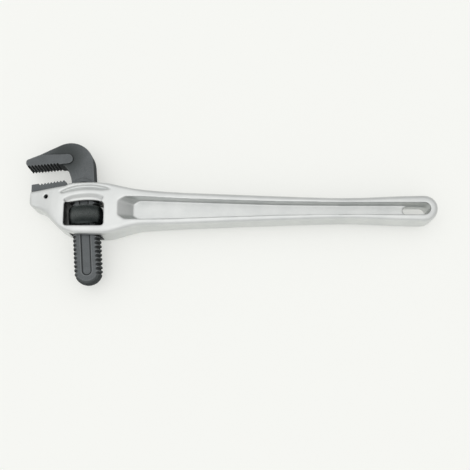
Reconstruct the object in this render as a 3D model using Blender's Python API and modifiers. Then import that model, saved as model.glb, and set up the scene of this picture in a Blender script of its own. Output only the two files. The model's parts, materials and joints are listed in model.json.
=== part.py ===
"""Offset pipe wrench, 18 inch size, with a cast aluminium handle and forged steel jaws.

The wrench lies on its side: +X runs along the handle, +Y is the way the hook jaw opens, and
+Z is the tool's thickness. Sizes are in millimetres, and MM turns them into Blender's metres.
The drawing origin is the centre of the adjusting nut, in the tool's middle plane. The last step
moves the whole wrench so that the row's origin is under the middle of its box, at the floor.
"""

import math

import bmesh
import bpy
from mathutils import Matrix, Vector

MM = 0.001
GAP = 0.3  # clearance between two pieces that sit still against each other

# Thread of the hook jaw and its nut
PITCH = 4.8
THREAD_RADIUS = 15.5
THREAD_DEPTH = 1.8
CREST_WIDTH = 1.5
FLANK_RUN = 0.75  # how much wider each side of the ridge is at its root
THREAD_CLEARANCE = 0.3
THREAD_STEPS = 24
ROOT_RADIUS = THREAD_RADIUS - THREAD_DEPTH

# Hook jaw
JAW_LEAN = 4.5  # degrees that the hook jaw leans in its passage at rest
LEAN_LEAST, LEAN_MOST = 0.0, 6.0
SHANK_HALF = 10.0  # half the shank's thickness
WEB_HALF = SHANK_HALF - 1.2  # half the thickness of the neck and the hook's body
JAW_HALF = SHANK_HALF + 1.0  # half the width of the toothed faces
NECK_HALF = 12.6
THREAD_TOP = 31.5
SHANK_END = -61.5  # centre of the domed end
HOOK_TEETH_Y = 60.2  # tips of the hook jaw's teeth, at HOOK_TEETH_X
HOOK_TEETH_X = -60.0
HOOK_TEETH_SLOPE = 0.9
CROWN_CENTRE = (-13.4, 60.0)
CROWN_RADIUS = 26.0
TOOTH_PITCH = 3.5
TOOTH_DEPTH = 2.2
HOOK_TOOTH_COUNT = 10
PANEL_HALF = 5.3
PANEL_DEPTH = 1.0
PANEL_TOP, PANEL_END = 22.0, -62.0

# Adjusting nut
NUT_RADIUS = 19.6
NUT_HEIGHT = 21.0
NUT_CHAMFER = 1.6
WINDOW_LEFT = -(NUT_RADIUS + 1.3)
WINDOW_RIGHT = NUT_RADIUS + 2.7

# Head of the casting
HEAD_HALF = 18.0
TOE_HALF = 14.0  # half the head's thickness at its left end
PASSAGE_HALF = SHANK_HALF + 0.6
RUN_CLEARANCE = 0.5  # between the leaning shank and its passage
SPRING_ROOM = 2.8  # extra width of the passage for the flat spring
HEAD_TOP, HEAD_BOTTOM = 36.3, -22.9
GROOVE_DEPTH = 2.4
GROOVE_WALL = 0.9  # how far the crescent's upper wall leans out
GROOVE_SLOPE = 0.75  # the share of the crescent's width that is slope
STEP_DEPTH = 3.6
WINDOW_TOP, WINDOW_BOTTOM = 16.2, -12.9
# Radius of the rounded rims at stations along X, for the rim well above the handle's axis and below it
UPPER_RIM = ((-60, 2.5), (-20, 2.5), (60, 3.2), (120, 4.0))
LOWER_RIM = ((-60, 3.2), (-43, 6.5), (-26, 3.6), (-8, 4.4), (12, 6.0), (44, 6.0), (90, 4.5))
RIM_BLEND = 6.0  # how far from the axis the lower rim's radius has become the upper rim's
RIM_STEPS = 3

# Handle of the casting
HANDLE_HALF = 14.0
HANDLE_AXIS = 7.6  # Y of the handle's centre line
HANDLE_STATIONS = ((75, 19.8), (143, 17.0), (215, 14.2), (288, 12.2), (345, 14.2))
END_RADIUS = 14.9
HANDLE_END = 389.8
POCKET_STATIONS = ((68, 12.9), (143, 10.4), (215, 8.2), (288, 7.4))
POCKET_LEFT = 41.5
POCKET_RAMP = 11.5  # length of the slope at the pocket's head end
POCKET_DRAFT = 1.5  # how much narrower each side is at the floor
POCKET_UPPER_DRAFT = 0.4  # the same on the upper side, which is steeper
POCKET_END_GAP = 8.6  # metal left between the pocket and the handle's end
WEB_THICKNESS = 6.0
HANG_LENGTH = 27.0
HANG_RADIUS = 4.4

# Half the casting's thickness at stations along X, and where its faces are cut to follow it
THICKNESS_STATIONS = ((-60, TOE_HALF), (-26, HEAD_HALF), (46, HEAD_HALF), (108, HANDLE_HALF))
TAPER_CUTS = (-52, -43, -34, -26, 46, 61, 77, 92, 108)

# Heel jaw and its pin
SEAT_LEFT, SEAT_RIGHT = -60.0, -20.4
SEAT_Y = 26.0  # height of the seat at its left end
SEAT_SLOPE = 9.1
HEEL_RISE = 8.8  # from the seat to the tooth tips
HEEL_TOOTH_COUNT = 8
HEEL_PLAIN_END = 5.5  # the toe's length with no teeth
HEEL_NOSE = 3.3  # the sloping nose beside the shank
TONGUE_LEFT, TONGUE_RIGHT = -48.5, -33.0
TONGUE_BOTTOM = 14.5
TONGUE_HALF = 7.0
PIN_X, PIN_Y = -41.5, 19.9
PIN_RADIUS = 2.0
PIN_WALL = 0.7
PIN_LENGTH = 26.0
PIN_SLIT = 50.0  # degrees left open in the rolled pin

# Springs behind the shank
LEAF_THICKNESS = 0.8
LEAF_HALF = 6.0
RIVET_Y = 18.2
RIVET_RADIUS = 1.5
RIVET_HEAD_RADIUS = 2.8
RIVET_HEAD = 0.9
RIVET_LENGTH = 8.0
COIL_Y = 27.0
COIL_RADIUS = 3.0  # to the middle of the wire
COIL_WIRE = 0.5  # wire radius
COIL_TURNS = 6
COIL_POINTS = 14  # points for each turn
SPRING_BORE_END = 31.5

OVER = 5.0  # how far a cutter runs past the metal
LEAN = math.radians(JAW_LEAN)


# ---------------------------------------------------------------- scene helpers


def clear_scene():
    for obj in list(bpy.data.objects):
        bpy.data.objects.remove(obj, do_unlink=True)


def new_collection(name):
    collection = bpy.data.collections.new(name)
    bpy.context.scene.collection.children.link(collection)
    return collection


def finish(name, colour, roughness, metallic):
    material = bpy.data.materials.new(name)
    material.use_nodes = True
    shader = material.node_tree.nodes["Principled BSDF"]
    shader.inputs["Base Color"].default_value = (*colour, 1.0)
    shader.inputs["Roughness"].default_value = roughness
    shader.inputs["Metallic"].default_value = metallic
    return material


def as_cutter(obj):
    """Moves a helper shape to the cutters, out of the part."""
    for collection in list(obj.users_collection):
        collection.objects.unlink(obj)
    cutters.objects.link(obj)
    obj.hide_render = True
    obj.display_type = "WIRE"
    return obj


def object_from(name, mesh_or_curve):
    obj = bpy.data.objects.new(name, mesh_or_curve)
    wrench.objects.link(obj)
    return obj


def baked(obj, merge=0.00001):
    """The object with its modifiers or its curve turned into one welded mesh, under the same name."""
    bpy.context.view_layer.update()
    graph = bpy.context.evaluated_depsgraph_get()
    mesh = bpy.data.meshes.new_from_object(obj.evaluated_get(graph))
    mesh.transform(obj.matrix_world)
    name = obj.name
    bpy.data.objects.remove(obj)
    bm = bmesh.new()
    bm.from_mesh(mesh)
    bmesh.ops.remove_doubles(bm, verts=bm.verts, dist=merge)
    bmesh.ops.recalc_face_normals(bm, faces=bm.faces)
    bm.to_mesh(mesh)
    bm.free()
    mesh.name = name
    return object_from(name, mesh)


def combined(obj, operation, others):
    """Applies one Boolean for each of the others, which stay as helpers among the cutters."""
    for other in others:
        modifier = obj.modifiers.new(operation.lower(), "BOOLEAN")
        modifier.operation = operation
        modifier.solver = "EXACT"
        modifier.object = as_cutter(other)
        obj = baked(obj)
    return obj


def cut(obj, *others):
    return combined(obj, "DIFFERENCE", others)


def joined(obj, *others):
    return combined(obj, "UNION", others)


def common(obj, *others):
    return combined(obj, "INTERSECT", others)


def bevelled(obj, width, segments, angle=40.0):
    modifier = obj.modifiers.new("edges", "BEVEL")
    modifier.width = width * MM
    modifier.segments = segments
    modifier.limit_method = "ANGLE"
    modifier.angle_limit = math.radians(angle)
    return baked(obj)


def shade(obj, angle=35.0):
    obj.data.shade_smooth()
    obj.data.set_sharp_from_angle(angle=math.radians(angle))


# ---------------------------------------------------------------- shape helpers


def arc(centre, radius, start, end, steps):
    """Points on a circle from start to end degrees, both included."""
    angles = [math.radians(start + (end - start) * i / steps) for i in range(steps + 1)]
    return [(centre[0] + radius * math.cos(a), centre[1] + radius * math.sin(a)) for a in angles]


def filleted(corners, steps=4):
    """A closed outline from (x, y, radius) corners, each rounded by an arc of that radius."""
    points = []
    for i, (x, y, radius) in enumerate(corners):
        here = Vector((x, y))
        if radius == 0:
            points.append((x, y))
            continue
        before = (Vector(corners[i - 1][:2]) - here).normalized()
        after = (Vector(corners[(i + 1) % len(corners)][:2]) - here).normalized()
        half = before.angle(after) / 2
        centre = here + (before + after).normalized() * (radius / math.sin(half))
        first = here + before * (radius / math.tan(half)) - centre
        turn = math.pi - 2 * half
        side = 1 if before.cross(after) < 0 else -1
        for step in range(steps + 1):
            spoke = Matrix.Rotation(side * turn * step / steps, 2) @ first
            points.append(tuple(centre + spoke))
    return points


def smooth_through(knots, steps=4):
    """A smooth open curve that passes through every knot (Catmull-Rom)."""
    ends = [knots[0], *knots, knots[-1]]
    points = []
    for a, b, c, d in zip(ends, ends[1:], ends[2:], ends[3:]):
        for i in range(steps):
            t = i / steps
            points.append(
                tuple(
                    0.5 * (2 * q + (r - p) * t + (2 * p - 5 * q + 4 * r - s) * t**2)
                    + 0.5 * (3 * q - p - 3 * r + s) * t**3
                    for p, q, r, s in zip(a, b, c, d)
                )
            )
    return [*points, knots[-1]]


def slab(name, outline, half):
    """A flat outline in X and Y, extruded by half to each side, as a mesh."""
    curve = bpy.data.curves.new(name, "CURVE")
    curve.dimensions = "2D"
    curve.fill_mode = "BOTH"
    curve.extrude = half * MM
    spline = curve.splines.new("POLY")
    spline.points.add(len(outline) - 1)
    for knot, (x, y) in zip(spline.points, outline):
        knot.co = (x * MM, y * MM, 0.0, 1.0)
    spline.use_cyclic_u = True
    return baked(object_from(name, curve))


def box(name, low, high):
    """A box between two corners."""
    bpy.ops.mesh.primitive_cube_add(size=1)
    obj = bpy.context.active_object
    obj.name = name
    size = [(h - l) * MM for l, h in zip(low, high)]
    middle = [(h + l) / 2 * MM for l, h in zip(low, high)]
    obj.data.transform(Matrix.Translation(middle) @ Matrix.Diagonal((*size, 1)))
    for collection in list(obj.users_collection):
        collection.objects.unlink(obj)
    wrench.objects.link(obj)
    return obj


def drill(name, centre, radius, half, axis="Z", sides=20):
    """A cylinder of that radius about a line through centre, half its length to each side."""
    bm = bmesh.new()
    ends = 2 * half * MM
    bmesh.ops.create_cone(
        bm, cap_ends=True, segments=sides, radius1=radius * MM, radius2=radius * MM, depth=ends
    )
    if axis == "X":
        bmesh.ops.rotate(bm, verts=bm.verts, matrix=Matrix.Rotation(math.pi / 2, 3, "Y"))
    bmesh.ops.translate(bm, verts=bm.verts, vec=Vector(centre) * MM)
    mesh = bpy.data.meshes.new(name)
    bm.to_mesh(mesh)
    bm.free()
    return object_from(name, mesh)


def turned(name, profile, steps=THREAD_STEPS):
    """A solid turned about Y from (radius, y) points that run from the top of its axis to the bottom."""
    mesh = bpy.data.meshes.new(name)
    points = [(r * MM, 0.0, y * MM) for r, y in profile]
    mesh.from_pydata(points, [(i, i + 1) for i in range(len(points) - 1)], [])
    obj = object_from(name, mesh)
    screw = obj.modifiers.new("turn", "SCREW")
    screw.steps = screw.render_steps = steps
    screw.use_merge_vertices = True
    screw.merge_threshold = 0.00001
    obj.rotation_euler.x = -math.pi / 2
    return baked(obj)


def threaded_bar(name, low_turn, high_turn, grow=0.0):
    """A right-handed threaded bar about Y. grow widens it all over, to make the tap for a nut."""
    root = ROOT_RADIUS + grow
    crest = THREAD_RADIUS + grow
    crest_half = CREST_WIDTH / 2 + grow
    root_half = crest_half + FLANK_RUN
    buried = root - 1.0
    start = low_turn * PITCH
    section = (
        (buried, start - root_half),
        (root, start - root_half),
        (crest, start - crest_half),
        (crest, start + crest_half),
        (root, start + root_half),
        (buried, start + root_half),
    )
    mesh = bpy.data.meshes.new(name + "_ridge")
    count = len(section)
    mesh.from_pydata(
        [(r * MM, 0.0, y * MM) for r, y in section], [(i, (i + 1) % count) for i in range(count)], []
    )
    ridge = object_from(name + "_ridge", mesh)
    screw = ridge.modifiers.new("thread", "SCREW")
    screw.steps = screw.render_steps = THREAD_STEPS
    screw.screw_offset = PITCH * MM
    screw.iterations = high_turn - low_turn
    ridge.rotation_euler.x = -math.pi / 2
    ridge = baked(ridge)
    bm = bmesh.new()
    bm.from_mesh(ridge.data)
    bmesh.ops.holes_fill(bm, edges=[e for e in bm.edges if e.is_boundary])
    bmesh.ops.recalc_face_normals(bm, faces=bm.faces)
    bm.to_mesh(ridge.data)
    bm.free()
    low, high = (low_turn - 1) * PITCH, (high_turn + 1) * PITCH
    core = turned(name, [(0, high), (root, high), (root, low), (0, low)])
    return joined(core, ridge)


def loft(name, lower, upper, low, high):
    """A solid between two outlines with as many points each, at the heights low and high."""
    bm = bmesh.new()
    loops = []
    for outline, height in ((lower, low), (upper, high)):
        verts = [bm.verts.new((x * MM, y * MM, height * MM)) for x, y in outline]
        loops.append(bm.faces.new(verts))
    edges = [edge for face in loops for edge in face.edges]
    bmesh.ops.bridge_loops(bm, edges=edges)
    bmesh.ops.triangulate(bm, faces=bm.faces)
    bmesh.ops.recalc_face_normals(bm, faces=bm.faces)
    mesh = bpy.data.meshes.new(name)
    bm.to_mesh(mesh)
    bm.free()
    return object_from(name, mesh)


def mirrored_pair(make):
    """The shape that make builds for the upper side (+1), and its twin for the under side (-1)."""
    return [make(side) for side in (1, -1)]


def interpolated(stations, x):
    """The value at x on the straight lines between (x, value) stations."""
    for (x0, v0), (x1, v1) in zip(stations, stations[1:]):
        if x <= x1:
            return v0 + (v1 - v0) * (x - x0) / (x1 - x0)
    return stations[-1][1]


# ---------------------------------------------------------------- casting


def seat_height(x):
    return SEAT_Y + (x - SEAT_LEFT) * math.tan(math.radians(SEAT_SLOPE))


def casting_outline():
    """The silhouette of the casting, clockwise from the seat's left end."""
    end_centre = HANDLE_END - END_RADIUS
    stations = [*HANDLE_STATIONS, (end_centre - 3.0, END_RADIUS)]
    arch = [
        (SEAT_RIGHT, seat_height(SEAT_RIGHT)),
        (-15.5, 35.0),
        (-3.0, 36.0),
        (11.0, HEAD_TOP),
        (25.0, 35.4),
        (39.0, 32.4),
        (54.0, 29.4),
        *[(x, HANDLE_AXIS + half) for x, half in stations],
    ]
    belly = [
        *[(x, HANDLE_AXIS - half) for x, half in reversed(stations)],
        (58.0, -13.8),
        (44.0, -17.6),
        (31.0, -21.4),
        (20.0, HEAD_BOTTOM),
    ]
    toe = [
        (-11.0, HEAD_BOTTOM + 1.2),
        (-18.8, -18.9),
        (-25.2, -15.6),
        (-31.4, -10.6),
        (-37.2, -4.7),
        (-43.2, 1.6),
        (-49.4, 6.0),
        (-56.0, 8.2),
        (-59.8, 11.6),
        (-60.4, 16.0),
        (SEAT_LEFT, seat_height(SEAT_LEFT)),
    ]
    end = arc((end_centre, HANDLE_AXIS), END_RADIUS, 90, -90, 10)
    return [*smooth_through(arch), *end, *smooth_through(belly), *smooth_through(toe)]


def casting_half(x):
    """Half the casting's thickness at x: full at the window, less at the toe and on the handle."""
    for (x0, t0), (x1, t1) in zip(THICKNESS_STATIONS, THICKNESS_STATIONS[1:]):
        if x <= x1:
            share = max(0.0, (x - x0) / (x1 - x0))
            return t0 + (t1 - t0) * (3 - 2 * share) * share**2
    return HANDLE_HALF


def rim_radius(x, y):
    upper_share = min(1.0, max(0.0, (y - HANDLE_AXIS + RIM_BLEND) / (2 * RIM_BLEND)))
    lower, upper = interpolated(LOWER_RIM, x), interpolated(UPPER_RIM, x)
    return lower + (upper - lower) * upper_share


def rounded_blank(name, outline):
    """The outline's solid with round rims, and its faces cut and moved in to the casting's thickness."""
    points = [Vector(point) for point in outline]
    inward = []
    for before, after in zip([points[-1], *points], [*points[1:], points[0]]):
        along = (after - before).normalized()
        inward.append(Vector((along.y, -along.x)))
    bm = bmesh.new()
    rings = []
    angles = [math.pi / 2 * step / RIM_STEPS for step in range(RIM_STEPS + 1)]
    for side, order in ((-1, reversed(angles)), (1, angles)):
        for angle in order:
            ring = []
            for point, normal in zip(points, inward):
                radius = rim_radius(*point)
                x, y = point + normal * radius * (1 - math.cos(angle))
                z = side * (HEAD_HALF - radius * (1 - math.sin(angle)))
                ring.append(bm.verts.new((x * MM, y * MM, z * MM)))
            rings.append(ring)
    count = len(points)
    for low, high in zip(rings, rings[1:]):
        for i in range(count):
            j = (i + 1) % count
            bm.faces.new((low[i], low[j], high[j], high[i]))
    bm.faces.new(rings[0])
    bm.faces.new(rings[-1])
    for x in TAPER_CUTS:
        geom = [*bm.verts, *bm.edges, *bm.faces]
        bmesh.ops.bisect_plane(bm, geom=geom, plane_co=(x * MM, 0, 0), plane_no=(1, 0, 0))
    deepest = max(radius for x, radius in LOWER_RIM) + 0.1
    for vert in bm.verts:
        if abs(vert.co.z) > (HEAD_HALF - deepest) * MM:
            drop = (HEAD_HALF - casting_half(vert.co.x / MM)) * MM
            vert.co.z -= math.copysign(drop, vert.co.z)
    bmesh.ops.triangulate(bm, faces=bm.faces)
    bmesh.ops.recalc_face_normals(bm, faces=bm.faces)
    mesh = bpy.data.meshes.new(name)
    bm.to_mesh(mesh)
    bm.free()
    return object_from(name, mesh)


def pocket_outline(depth_share):
    """The handle's pocket: its mouth at share 0 and its floor at share 1."""
    narrow = POCKET_DRAFT * depth_share
    left = POCKET_LEFT + POCKET_RAMP * depth_share
    right = HANDLE_END - POCKET_END_GAP - narrow
    half = POCKET_STATIONS[-1][1] - narrow
    upper_narrow = POCKET_DRAFT - POCKET_UPPER_DRAFT * (1 - depth_share)
    upper_half = POCKET_STATIONS[-1][1] - upper_narrow
    upper_shoulder = POCKET_STATIONS[0][1] - upper_narrow
    upper = [(x, HANDLE_AXIS + w - upper_narrow, 0) for x, w in POCKET_STATIONS]
    lower = [(x, HANDLE_AXIS - w + narrow, 0) for x, w in reversed(POCKET_STATIONS)]
    shoulder = POCKET_STATIONS[0][1] - narrow
    corners = [
        (left + 7.0, HANDLE_AXIS - shoulder, 5.0),
        (left, HANDLE_AXIS - shoulder + 4.6, 3.0),
        (left, HANDLE_AXIS + upper_shoulder - 4.6, 3.0),
        (left + 7.0, HANDLE_AXIS + upper_shoulder, 5.0),
        *upper,
        (right, HANDLE_AXIS + upper_half, upper_half - 0.05),
        (right, HANDLE_AXIS - half, half - 0.05),
        *lower,
    ]
    return filleted(corners)


def handle_pocket(side):
    reach = HEAD_HALF + OVER
    floor = WEB_THICKNESS / 2
    mouth_share = (HANDLE_HALF - reach) / (HANDLE_HALF - floor)
    ends = (side * floor, side * reach)
    return loft(f"pocket_cutter_{side}", pocket_outline(1.0), pocket_outline(mouth_share), *ends)


def window_outline():
    """The window for the nut: square below, arched above."""
    left, right, top = WINDOW_LEFT, WINDOW_RIGHT, WINDOW_TOP
    arch = [(left, top - 4.6), (left + 1.4, top - 3.0), (-13.0, top - 1.6), (-3.0, top - 0.3)]
    arch += [(5.0, top), (13.5, top - 0.3), (right - 2.4, top - 2.2), (right, top - 5.4)]
    bottom = arc((right - 2.5, WINDOW_BOTTOM + 2.5), 2.5, 0, -90, 3)
    bottom += arc((left + 2.0, WINDOW_BOTTOM + 2.0), 2.0, -90, -180, 3)
    return [*smooth_through(arch, 2), *bottom]


def passage_outline():
    """The slot that the shank runs and rocks in, seen along Z, from above the head to below it."""
    top, bottom = HEAD_TOP + OVER, HEAD_BOTTOM - OVER
    most, least = math.tan(math.radians(LEAN_MOST)), math.tan(math.radians(LEAN_LEAST))
    reach = THREAD_RADIUS / math.cos(math.radians(LEAN_MOST)) + RUN_CLEARANCE
    upper_left = -top * most - reach
    lower_right = -bottom * most + reach
    spring_wall = reach + SPRING_ROOM
    return [
        (upper_left, top),
        (spring_wall, top),
        (spring_wall, 0.0),
        (max(lower_right, spring_wall), bottom),
        (-bottom * least - reach, bottom),
        (-reach, 0.0),
    ]


def spring_wall_x():
    return max(x for x, y in passage_outline() if y > 0)


def arch_groove(side):
    """A crescent under the head's top rim, deepest beside the rim, that slopes up to the window."""
    top = [(-27.0, 24.2), (-17.5, 29.2), (-6.5, 32.2), (4.5, 33.0), (15.0, 32.4), (30.0, 28.6)]
    low = [(29.0, 27.4), (21.0, 25.7), (13.5, 25.9), (4.5, 26.2)]
    low += [(-4.7, 25.6), (-14.6, 24.2), (-24.0, 22.6)]
    rim, ridge = smooth_through(top, 2), smooth_through(low, 2)
    mouth = [*rim, *ridge]
    floor = [(x, y - GROOVE_WALL) for x, y in rim]
    floor += [(x, y + GROOVE_SLOPE * (interpolated(rim, x) - GROOVE_WALL - y)) for x, y in ridge]
    face = HEAD_HALF * side
    return loft(f"arch_groove_{side}", floor, mouth, face - side * GROOVE_DEPTH, face + side * 0.4)


def window_step(side):
    """The slope above the window that leads a thumb to the nut."""
    rim = [(-22.0, 17.2), (-14.4, 20.8), (-4.3, 22.8), (4.8, 23.7), (14.0, 23.2), (22.4, 20.8)]
    foot = [(-20.6, 13.0), (-13.2, 16.9), (-4.0, 18.3), (4.6, 18.9), (13.4, 18.3), (20.6, 15.0)]
    close = [(15.0, 8.0), (-15.0, 8.0)]
    face = HEAD_HALF * side
    low, high = ([*smooth_through(arch, 2), *close] for arch in (foot, rim))
    return loft(f"window_step_{side}", low, high, face - side * STEP_DEPTH, face + side * 0.4)


def casting():
    body = rounded_blank("handle_casting", casting_outline())
    pockets = mirrored_pair(handle_pocket)
    window = slab("window_cutter", window_outline(), HEAD_HALF + OVER)
    passage = slab("passage_cutter", passage_outline(), PASSAGE_HALF)
    body = cut(body, *pockets, *mirrored_pair(arch_groove), *mirrored_pair(window_step))
    body = cut(body, window, passage)
    tongue_slot = box(
        "tongue_slot",
        (TONGUE_LEFT - GAP, TONGUE_BOTTOM - GAP, -TONGUE_HALF - GAP),
        (TONGUE_RIGHT + GAP, HEAD_TOP, TONGUE_HALF + GAP),
    )
    pin_hole = drill("pin_hole", (PIN_X, PIN_Y, 0), PIN_RADIUS + GAP, HEAD_HALF + OVER)
    hang_centre = (HANDLE_END - POCKET_END_GAP - POCKET_DRAFT - HANG_LENGTH / 2, HANDLE_AXIS)
    reach = HANG_LENGTH / 2 - HANG_RADIUS
    slot = arc((hang_centre[0] + reach, hang_centre[1]), HANG_RADIUS, -90, 90, 8)
    slot += arc((hang_centre[0] - reach, hang_centre[1]), HANG_RADIUS, 90, 270, 8)
    wall = spring_wall_x()
    bore_middle = (wall - OVER + SPRING_BORE_END) / 2
    bore_half = (SPRING_BORE_END - wall + OVER) / 2
    bore_radius = COIL_RADIUS + COIL_WIRE + 0.6
    spring_bore = drill("spring_bore", (bore_middle, COIL_Y, 0), bore_radius, bore_half, "X", 16)
    rivet_end = wall + RIVET_LENGTH + GAP
    rivet_middle = ((rivet_end + wall - OVER) / 2, RIVET_Y, 0)
    rivet_hole = drill("rivet_hole", rivet_middle, RIVET_RADIUS + GAP, (rivet_end - wall + OVER) / 2, "X", 12)
    hang_slot = slab("hang_slot", slot, HEAD_HALF)
    return cut(body, tongue_slot, pin_hole, hang_slot, spring_bore, rivet_hole)


# ---------------------------------------------------------------- jaws


def tooth_cutter(name, count, origin, slope, half, lean):
    """V grooves along Z, one for each tooth, on a line that starts at origin and rises by slope."""
    outline = [(0.0, 0.0)]
    for i in range(count):
        start = i * TOOTH_PITCH
        outline.append((start, 0.0))
        outline.append((start + TOOTH_PITCH * lean, TOOTH_DEPTH))
    outline += [(count * TOOTH_PITCH, 0.0), (count * TOOTH_PITCH, -OVER), (0.0, -OVER)]
    outline = outline[1:]
    turn = Matrix.Rotation(math.radians(slope), 2)
    points = [tuple(turn @ Vector(p) + Vector(origin)) for p in outline]
    return slab(name, points, half + OVER)


def hook_land():
    """Where the hook jaw's last tooth ends and its smooth land begins."""
    x = HOOK_TEETH_X + HOOK_TOOTH_COUNT * TOOTH_PITCH + 1.6
    return (x, HOOK_TEETH_Y + (x - HOOK_TEETH_X) * math.tan(math.radians(HOOK_TEETH_SLOPE)))


def hook_nose(start, end):
    return arc((-57.6, 65.3), 4.5, start, end, 7)


def hook_outline():
    """The hook and neck, from the land down the throat and round the crown, in the shank's frame."""
    throat = smooth_through(
        [
            hook_land(),
            (-20.6, 59.8),
            (-17.4, 56.6),
            (-15.4, 52.4),
            (-13.9, 47.6),
            (-NECK_HALF - 0.1, 42.0),
            (-NECK_HALF, 37.0),
        ],
        steps=3,
    )
    foot = THREAD_TOP - 6.0
    crown = arc(CROWN_CENTRE, CROWN_RADIUS, 2, 113, 12)
    ends = [(-NECK_HALF, foot), (NECK_HALF, foot)]
    return [*throat, *ends, *crown, *hook_nose(118, 225), (HOOK_TEETH_X, HOOK_TEETH_Y)]


def jaw_pad_outline():
    """The wide toothed part of the hook, which ends in a half round."""
    tip = arc((-15.2, 66.7), 5.6, -90, 90, 8)
    start = (HOOK_TEETH_X, HOOK_TEETH_Y)
    return [start, hook_land(), (-21.5, 61.1), *tip, (-46.0, 73.6), *hook_nose(118, 225)]


def hook_jaw():
    low_turn = math.floor((SHANK_END - THREAD_RADIUS) / PITCH) - 1
    high_turn = math.ceil(THREAD_TOP / PITCH) + 1
    bar = threaded_bar("hook_jaw", low_turn, high_turn)
    widest = THREAD_RADIUS + 0.7
    dome = arc((0, SHANK_END), THREAD_RADIUS, 0, -90, 7)
    blank = turned("shank_blank", [(0, THREAD_TOP), (widest, THREAD_TOP), (widest, SHANK_END + 1.5), *dome])
    flats = box("shank_flats", (-40, -90, -SHANK_HALF), (40, 60, SHANK_HALF))
    shank = common(bar, blank, flats)
    body = slab("hook_body", hook_outline(), WEB_HALF)
    body = bevelled(body, 1.6, 2, 50.0)
    pad = slab("jaw_pad", jaw_pad_outline(), JAW_HALF)
    flat_top = [(-11.6, THREAD_TOP - 5.0), (11.6, THREAD_TOP - 5.0)]
    flat_top += arc((0, THREAD_TOP), 11.6, 0, 180, 10)
    flat_pad = slab("shank_top_pad", flat_top, SHANK_HALF - 0.15)
    jaw = joined(shank, body, pad, flat_pad)
    teeth = tooth_cutter(
        "hook_teeth", HOOK_TOOTH_COUNT, (HOOK_TEETH_X, HOOK_TEETH_Y), HOOK_TEETH_SLOPE, JAW_HALF, 0.3
    )
    panel_outline = arc((0, PANEL_END), PANEL_HALF, 180, 360, 8)
    panel_outline = [(-PANEL_HALF, PANEL_TOP), *panel_outline, (PANEL_HALF, PANEL_TOP)]
    panels = []
    for side in (1, -1):
        panel = slab(f"shank_panel_{side}", panel_outline, 2.0)
        panel.data.transform(Matrix.Translation((0, 0, side * (SHANK_HALF + 2.0 - PANEL_DEPTH) * MM)))
        panels.append(panel)
    return cut(jaw, teeth, *panels)


def heel_jaw():
    base = GAP / math.cos(math.radians(SEAT_SLOPE))
    left, right = SEAT_LEFT + 0.6, SEAT_RIGHT - 0.2
    teeth_left, teeth_right = left + HEEL_PLAIN_END, right - HEEL_NOSE
    crest = seat_height(teeth_right) + HEEL_RISE
    outline = [
        (left, seat_height(left) + base),
        (left, seat_height(left) + HEEL_RISE),
        (teeth_left, seat_height(teeth_left) + HEEL_RISE),
        (teeth_right, crest),
        (right, crest - HEEL_NOSE),
        (right, seat_height(right) + base),
    ]
    jaw = slab("heel_jaw", outline, JAW_HALF)
    tongue = box(
        "heel_tongue",
        (TONGUE_LEFT, TONGUE_BOTTOM, -TONGUE_HALF),
        (TONGUE_RIGHT, seat_height(TONGUE_LEFT) + 3.0, TONGUE_HALF),
    )
    jaw = joined(jaw, tongue)
    turn = Matrix.Rotation(math.radians(SEAT_SLOPE), 2)
    run = (teeth_right - teeth_left) / math.cos(math.radians(SEAT_SLOPE))
    outline = []
    for i in range(HEEL_TOOTH_COUNT):
        start = run - (HEEL_TOOTH_COUNT - i) * TOOTH_PITCH
        outline += [(start, 0.0), (start + TOOTH_PITCH * 0.35, -TOOTH_DEPTH)]
    outline += [(run, 0.0), (run, OVER), (outline[0][0], OVER)]
    origin = Vector((teeth_left, seat_height(teeth_left) + HEEL_RISE))
    points = [tuple(turn @ Vector(p) + origin) for p in outline]
    teeth = slab("heel_teeth", points, JAW_HALF + OVER)
    hole = drill("heel_pin_hole", (PIN_X, PIN_Y, 0), PIN_RADIUS + GAP, HEAD_HALF)
    return cut(jaw, teeth, hole)


# ---------------------------------------------------------------- nut, pin and springs


def adjusting_nut():
    top, edge = NUT_HEIGHT / 2, NUT_RADIUS - NUT_CHAMFER
    profile = [
        (0, top),
        (edge, top),
        (NUT_RADIUS, top - NUT_CHAMFER),
        (NUT_RADIUS, -top + NUT_CHAMFER),
        (edge, -top),
        (0, -top),
    ]
    blank = turned("adjusting_nut", profile, 40)
    turns = math.ceil(top / PITCH) + 1
    return cut(blank, threaded_bar("nut_tap", -turns, turns, THREAD_CLEARANCE))


def heel_pin():
    """A rolled spring pin: a slit tube, made from an open sheet with a wall."""
    mesh = bpy.data.meshes.new("heel_jaw_pin")
    ring = arc((PIN_X, PIN_Y), PIN_RADIUS, 90 + PIN_SLIT / 2, 450 - PIN_SLIT / 2, 16)
    bm = bmesh.new()
    low = [bm.verts.new((x * MM, y * MM, -PIN_LENGTH / 2 * MM)) for x, y in ring]
    edges = [bm.edges.new(pair) for pair in zip(low, low[1:])]
    grown = bmesh.ops.extrude_edge_only(bm, edges=edges)["geom"]
    raised = [v for v in grown if isinstance(v, bmesh.types.BMVert)]
    bmesh.ops.translate(bm, verts=raised, vec=(0, 0, PIN_LENGTH * MM))
    bm.to_mesh(mesh)
    bm.free()
    pin = object_from("heel_jaw_pin", mesh)
    wall = pin.modifiers.new("wall", "SOLIDIFY")
    wall.thickness = PIN_WALL * MM
    wall.offset = 1.0
    return baked(pin)


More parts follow.
